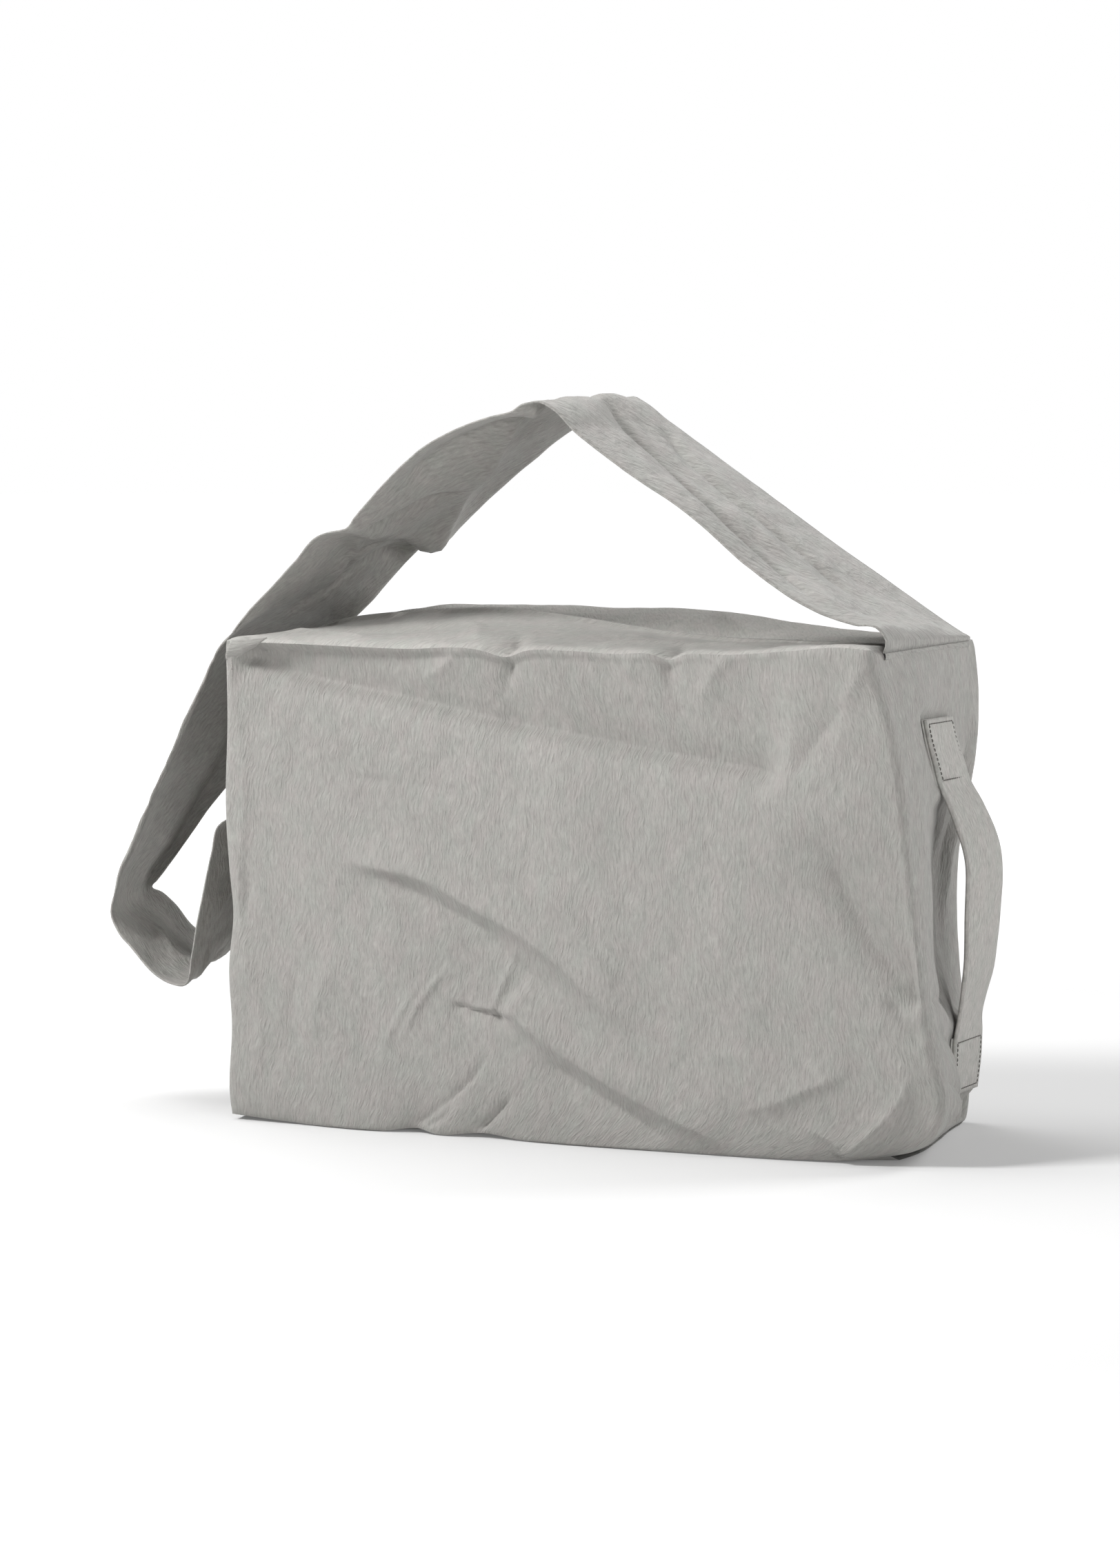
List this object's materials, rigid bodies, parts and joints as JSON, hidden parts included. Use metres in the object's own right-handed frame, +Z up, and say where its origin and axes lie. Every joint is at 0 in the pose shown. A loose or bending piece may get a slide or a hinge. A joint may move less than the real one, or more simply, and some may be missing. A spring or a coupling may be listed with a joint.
{
  "type": "mail sack",
  "caption": "Boxy cloth carrying sack with a hidden zip mouth along the top, a wide shoulder strap over it and an upright grab handle on each end.",
  "frame": {"origin": "middle of the base panel's underside, on the surface the sack stands on, midway along its straight length and depth", "axes": "+Z up; +X along the sack towards the end that the arched strap is sewn to; the front panel faces -Y"},
  "size_m": [0.6835, 0.22, 0.5332],
  "materials": {
    "body_cloth": "matte washed plain-weave synthetic cloth in warm light grey, crinkled and softly streaked",
    "strap_cloth": "the same grey cloth in folded layers, matte, creased lengthwise",
    "zip_tape": "matte woven zip tape in darker grey",
    "seam_binding": "matte woven binding tape in darker grey",
    "zip_teeth": "dull dark grey nylon coil",
    "zip_metal": "satin nickel-plated metal",
    "thread": "fine matte sewing thread in the cloth's grey"
  },
  "bodies": {
    "sack": {"front_panel": "body_cloth", "back_panel": "body_cloth", "base_panel": "body_cloth", "end_panel_left": "body_cloth", "end_panel_right": "body_cloth", "top_border_front": "body_cloth", "top_border_back": "body_cloth", "top_end_left": "body_cloth", "top_end_right": "body_cloth", "shoulder_strap_right_root": "strap_cloth", "shoulder_strap_left_drop": "strap_cloth", "shoulder_strap_left_return": "strap_cloth", "handle_tab_right_upper": "strap_cloth", "handle_tab_right_lower": "strap_cloth", "handle_tab_left_upper": "strap_cloth", "handle_tab_left_lower": "strap_cloth", "handle_stitch_right_upper": "thread", "handle_stitch_right_lower": "thread", "handle_stitch_left_upper": "thread", "handle_stitch_left_lower": "thread", "zip_end_tape_front_left": "zip_tape", "zip_end_tape_front_right": "zip_tape", "zip_end_tape_back_left": "zip_tape", "zip_end_tape_back_right": "zip_tape", "zip_top_stop_front": "zip_metal", "zip_top_stop_back": "zip_metal", "zip_bottom_stop": "zip_metal", "seam_binding_left_front": "seam_binding", "seam_binding_left_back": "seam_binding", "seam_binding_right_front": "seam_binding", "seam_binding_right_back": "seam_binding", "seam_binding_base_front": "seam_binding", "seam_binding_base_back": "seam_binding"},
    "mouth_front": {"mouth_lip_front": "body_cloth", "zip_tape_front": "zip_tape", "zip_teeth_front": "zip_teeth"},
    "mouth_back": {"mouth_lip_back": "body_cloth", "zip_tape_back": "zip_tape", "zip_teeth_back": "zip_teeth"},
    "slider": {"zip_slider": "zip_metal"},
    "pull_tab": {"zip_pull_tab": "zip_metal"},
    "strap_arch": {"shoulder_strap_arch": "strap_cloth"},
    "right_grip": {"handle_grip_right": "strap_cloth"},
    "left_grip": {"handle_grip_left": "strap_cloth"}
  },
  "joints": [
    {"name": "mouth_lip_front_fold", "type": "hinge", "parent": "sack", "child": "mouth_front", "pos_m": [0, -0.05, 0.352], "axis": [1, 0, 0], "range_deg": [0, 165]},
    {"name": "mouth_lip_back_fold", "type": "hinge", "parent": "sack", "child": "mouth_back", "pos_m": [0, 0.05, 0.352], "axis": [-1, 0, 0], "range_deg": [0, 165]},
    {"name": "zip_slide", "type": "slide", "parent": "sack", "child": "slider", "axis": [1, 0, 0], "range_m": [-0.372, 0]},
    {"name": "pull_tab_flip", "type": "hinge", "parent": "slider", "child": "pull_tab", "pos_m": [0.176, 0, 0.3474], "axis": [0, -1, 0], "range_deg": [0, 110]},
    {"name": "strap_arch_swing", "type": "hinge", "parent": "sack", "child": "strap_arch", "pos_m": [0, 0, 0.405], "axis": [1, 0, 0], "range_deg": [-20, 20]},
    {"name": "handle_grip_right_swing", "type": "hinge", "parent": "sack", "child": "right_grip", "pos_m": [0.28, 0, 0.168], "axis": [0, 0, 1], "range_deg": [-25, 25]},
    {"name": "handle_grip_left_swing", "type": "hinge", "parent": "sack", "child": "left_grip", "pos_m": [-0.254, 0, 0.168], "axis": [0, 0, 1], "range_deg": [-20, 20]}
  ]
}
